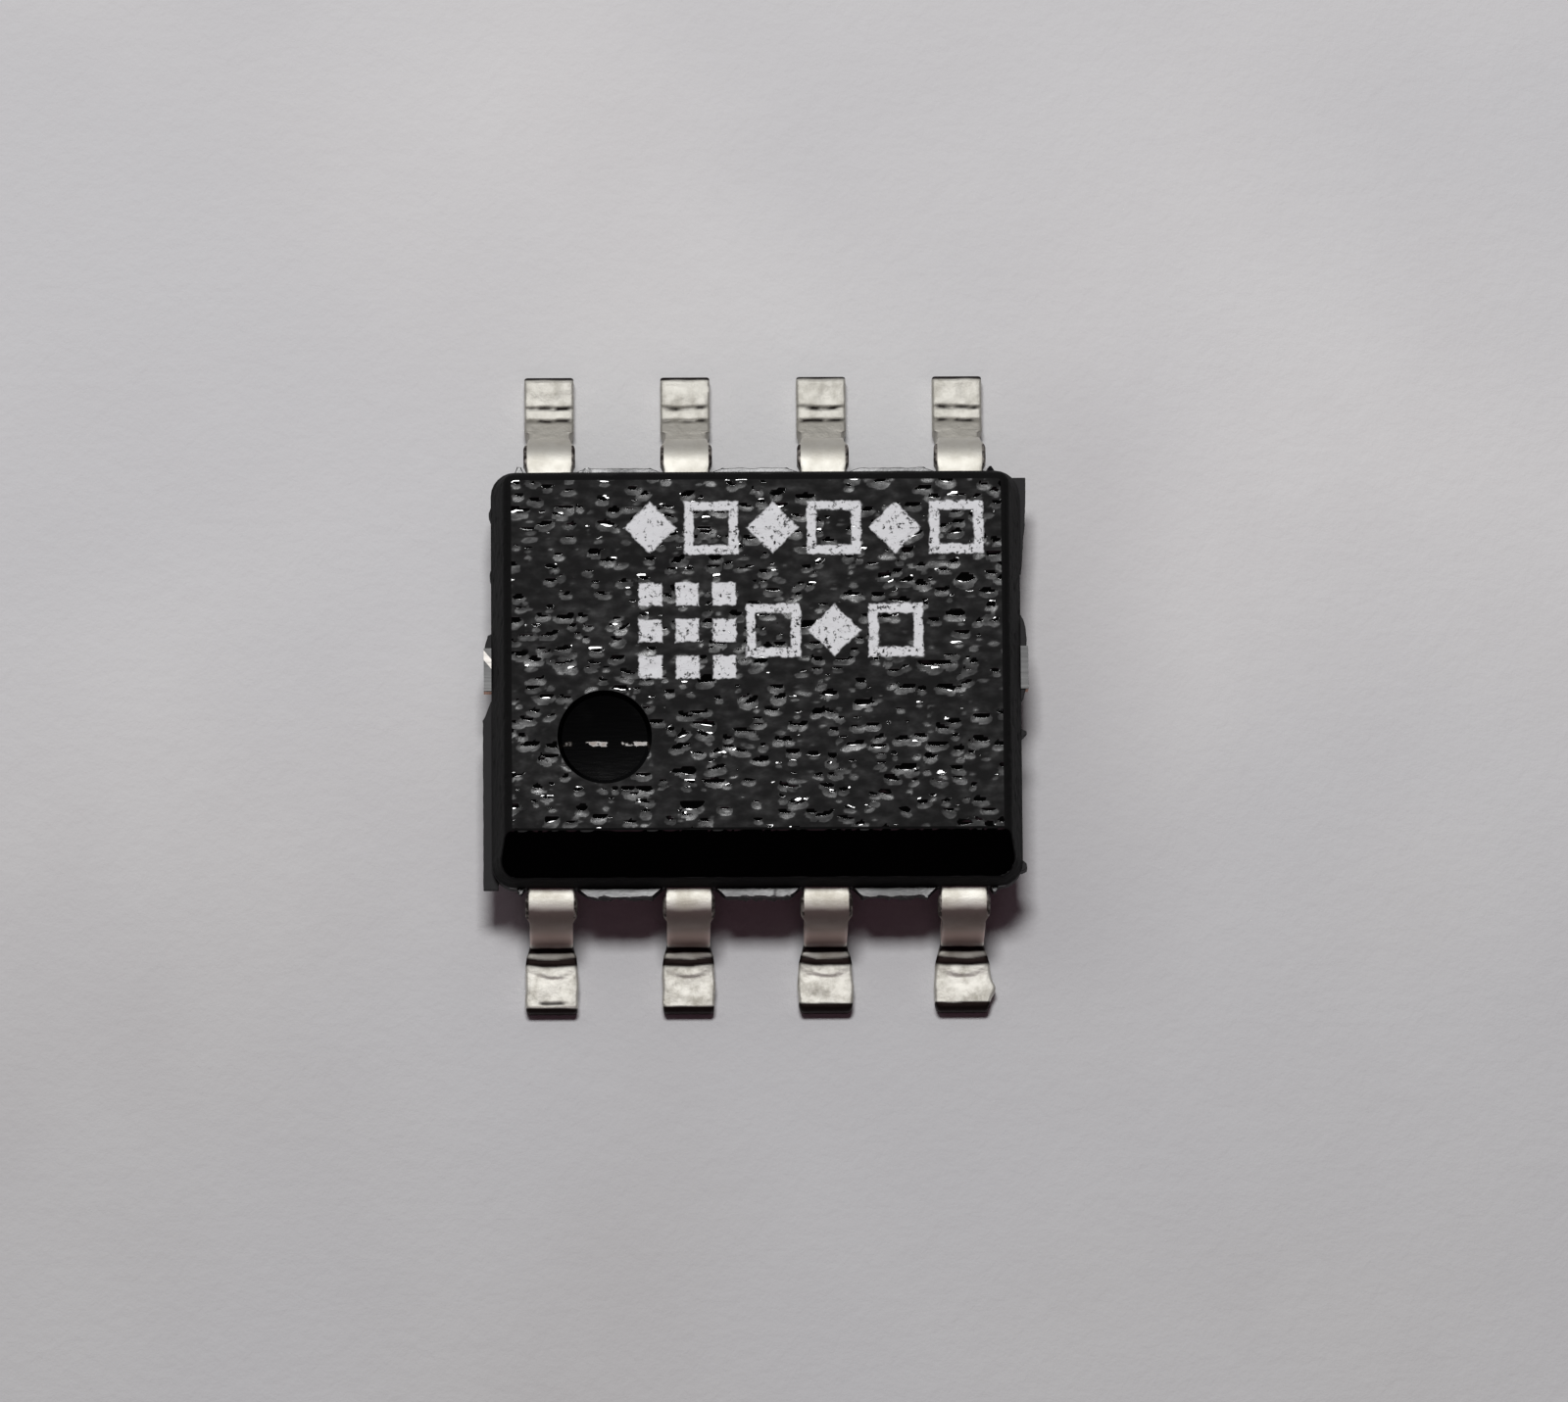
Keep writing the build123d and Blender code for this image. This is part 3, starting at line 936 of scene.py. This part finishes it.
def flash_box(bm, along, low, high, base, levels):
    """A plain bar beside the body, divided along its length. Gives its faces."""
    out = 1 - along
    inner = base - math.copysign(FLASH_ROOT, base)
    made = bmesh.ops.create_cube(bm, size=1.0)["verts"]
    size, middle = Vector((0, 0, 0)), Vector((0, 0, 0))
    size[along], middle[along] = high - low, (high + low) / 2
    size[out], middle[out] = abs(base - inner), (base + inner) / 2
    size.z, middle.z = levels[1] - levels[0], (levels[1] + levels[0]) / 2
    bmesh.ops.scale(bm, vec=size, verts=made)
    bmesh.ops.translate(bm, vec=middle, verts=made)
    faces = distinct(f for v in made for f in v.link_faces)
    normal = Vector((0, 0, 0))
    normal[along] = 1
    count = max(2, round((high - low) / FLASH_GRID))
    for i in range(1, count):
        edges = distinct(e for f in faces for e in f.edges)
        verts = distinct(v for f in faces for v in f.verts)
        cut = bmesh.ops.bisect_plane(
            bm, geom=faces + edges + verts, dist=TINY,
            plane_co=normal * (low + (high - low) * i / count), plane_no=normal)["geom"]
        faces = [g for g in cut if isinstance(g, bmesh.types.BMFace)]
    return faces


def flash_strip(bm, along, low, high, base, reach, levels, outline, seed, tear=0.3):
    """A torn strip of flash from low to high beside the body.

    along is the axis that it runs along. It stands out from base by reach times the outline, which
    gives the share of the reach for a share of the length, and its edge is torn by noise.
    """
    out = 1 - along
    faces = flash_box(bm, along, low, high, base, levels)
    for v in distinct(v for f in faces for v in f.verts):
        if abs(v.co[out] - base) < 1e-4:
            share = max(0.0, min(1.0, (v.co[along] - low) / (high - low)))
            torn = 0.5 + 0.5 * noise.noise(Vector((v.co[along], v.co.z * 0.4, seed)) / 0.07)
            v.co[out] = base + math.copysign(reach, base) * outline(share) * (1 - tear * torn)
            v.co.z += 0.015 * tear * noise.noise(Vector((v.co[along], seed, v.co.z)) / 0.30)
    edges = [e for e in distinct(e for f in faces for e in f.edges) if e.calc_face_angle(0) > 1.0]
    bmesh.ops.bevel(
        bm, geom=edges, offset=FLASH_EDGE, segments=1, profile=0.5, affect="EDGES", material=-1)


def full(share):
    """Outline of flash that has its whole reach nearly from end to end."""
    return min(1.0, 8 * share, 8 * (1 - share))


def ledge(share):
    """Square where it starts, and sloping in where it ends."""
    return min(1.0, 9 * (1 - share))


def swell(share):
    """A round bulge."""
    return max(0.0, math.sin(math.pi * share)) ** 0.5


def rising(share):
    """A quarter of its reach where it starts, and widening to all of it."""
    return min(1.0, 0.25 + 1.1 * share)


def side_flash(bm, side, levels):
    """The flash along one long side: between the leads, and a nub past the last ones."""
    base = side * LAND_HALF.y
    reach = 0.11 if side < 0 else 0.045
    for i in range(LEADS_PER_SIDE - 1):
        low = i * PITCH - LAST_LEAD + STUB_WIDTH / 2
        high = low + PITCH - STUB_WIDTH
        flash_strip(bm, 0, low, high, base, reach, levels, full, 3.0 * i + side, tear=0.4)
    for end in (-1, 1):
        low = end * (LAST_LEAD + STUB_WIDTH / 2 + 0.04) - 0.04
        flash_strip(bm, 0, low, low + 0.08, base, 0.06, levels, full, 20.0 + end + 3 * side)


def mould_flash():
    """Plastic that leaked out at the parting line: along both sides, and at both ends."""
    bm = bmesh.new()
    land = (LAND_UNDER, LAND_TOP)
    thin = (LAND_UNDER, LAND_UNDER + 0.08)
    over_tie_bar = (0.74, 0.93)
    for side in (-1, 1):
        side_flash(bm, side, land)
    left, right = -LAND_HALF.x, LAND_HALF.x
    at_ends = [
        (-1.945, -0.17, left, 0.0839, thin, ledge, 0.10),
        (0.08, 0.44, left, 0.070, over_tie_bar, swell, 0.3),
        (0.93, 1.03, left, 0.022, land, swell, 0.3),
        (1.50, 1.62, left, 0.022, land, swell, 0.3),
        (1.00, 1.905, right, 0.0745, thin, rising, 0.3),
        (-0.22, 0.60, right, 0.0745, over_tie_bar, swell, 0.3),
        (-0.56, -0.48, right, 0.050, land, swell, 0.3),
        (-1.81, -1.71, right, 0.050, land, swell, 0.3),
    ]
    for seed, (low, high, base, reach, levels, outline, tear) in enumerate(at_ends, start=31):
        flash_strip(bm, 1, low, high, base, reach, levels, outline, seed, tear)
    bmesh.ops.recalc_face_normals(bm, faces=bm.faces)
    bm = in_fixed_order(bm)
    show(bm, "mould_flash", [moulded_plastic()], sharp=20.0)


def carry_over():
    """Finishes for the CAD nodes that stay as they are."""
    wire = drawn_gold()
    finishes = {f"bond_wire_{n}": wire for n in range(1, 2 * LEADS_PER_SIDE + 1)}
    finishes["die_paddle"] = rolled_copper()
    finishes["die_attach"] = silver_glue()
    finishes["silicon_die"] = patterned_silicon()
    for node, material in finishes.items():
        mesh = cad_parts[node].data
        mesh.materials.clear()
        mesh.materials.append(material)


def floor():
    """A large sheet of paper under the chip."""
    bm = bmesh.new()
    bmesh.ops.create_grid(bm, x_segments=1, y_segments=1, size=FLOOR_SIZE * MM)
    mesh = bpy.data.meshes.new("table")
    bm.to_mesh(mesh)
    bm.free()
    mesh.materials.append(table_paper())
    made = bpy.data.objects.new("table", mesh)
    bpy.context.scene.collection.objects.link(made)


def direction(azimuth, elevation):
    """Unit vector towards a place in the sky; azimuth 0 is the near side, as for the camera."""
    a, e = math.radians(azimuth), math.radians(elevation)
    return Vector((math.sin(a) * math.cos(e), -math.cos(a) * math.cos(e), math.sin(e)))


def camera():
    """The photograph's camera."""
    back = direction(CAMERA_AZIMUTH, CAMERA_ELEVATION)
    right = Vector((0, 0, 1)).cross(back).normalized()
    up = back.cross(right)
    roll = math.radians(CAMERA_ROLL)
    across = right * math.cos(roll) + up * math.sin(roll)
    upward = -right * math.sin(roll) + up * math.cos(roll)
    data = bpy.data.cameras.new("camera")
    data.sensor_width = SENSOR_WIDTH
    data.lens = FOCAL_PIXELS / PHOTO_WIDTH * SENSOR_WIDTH
    data.clip_start, data.clip_end = 0.005, 5.0
    made = bpy.data.objects.new("camera", data)
    bpy.context.scene.collection.objects.link(made)
    turn = Matrix((across, upward, back)).transposed().to_4x4()
    made.matrix_world = Matrix.Translation((CAMERA_TARGET + back * CAMERA_DISTANCE) * MM) @ turn
    bpy.context.scene.camera = made


def lamp():
    """The only lamp, compact and soft, high on the far side and facing the chip."""
    data = bpy.data.lights.new("key", "AREA")
    data.shape = "RECTANGLE"
    data.size, data.size_y = [side * MM for side in LAMP_SIZE]
    data.energy = LAMP_POWER
    made = bpy.data.objects.new("key", data)
    bpy.context.scene.collection.objects.link(made)
    away = direction(LAMP_AZIMUTH, LAMP_ELEVATION)
    turn = away.to_track_quat("Z", "Y").to_matrix().to_4x4()
    made.matrix_world = Matrix.Translation(away * LAMP_DISTANCE * MM) @ turn


def room():
    """Dim light without a source: pale from low on the far side, purple brown from over the near side."""
    world = bpy.data.worlds.new("room")
    bpy.context.scene.world = world
    world.use_nodes = True
    n = Nodes(world.node_tree)
    look = n.node("ShaderNodeTexCoord")["Generated"]
    colour = DARK_ROOM
    for azimuth, elevation, spread, tone in ((205, 25, 0.45, FAR_ROOM), (0, 50, 0.85, NEAR_ROOM)):
        towards = {0: look, 1: direction(azimuth, elevation)}
        near = n.node("ShaderNodeVectorMath", {"operation": "DOT_PRODUCT"}, towards)["Value"]
        colour = n.mix(near.ramp(spread, 1.0), colour, tone)
    glow = n.node("ShaderNodeBackground", {}, {"Color": colour})["Background"]
    n.node("ShaderNodeOutputWorld", {}, {"Surface": glow})


moulding()
mould_flash()
metal, solder = tinned_metal(), old_solder()
seats = [(place, -1) for place in range(LEADS_PER_SIDE)]
seats += [(place, 1) for place in reversed(range(LEADS_PER_SIDE))]
for number, (place, side) in enumerate(seats, start=1):
    tinned_lead(number, place, side, metal, solder)
carry_over()
floor()
lamp()
room()
camera()
bpy.context.scene.view_settings.view_transform = "Standard"
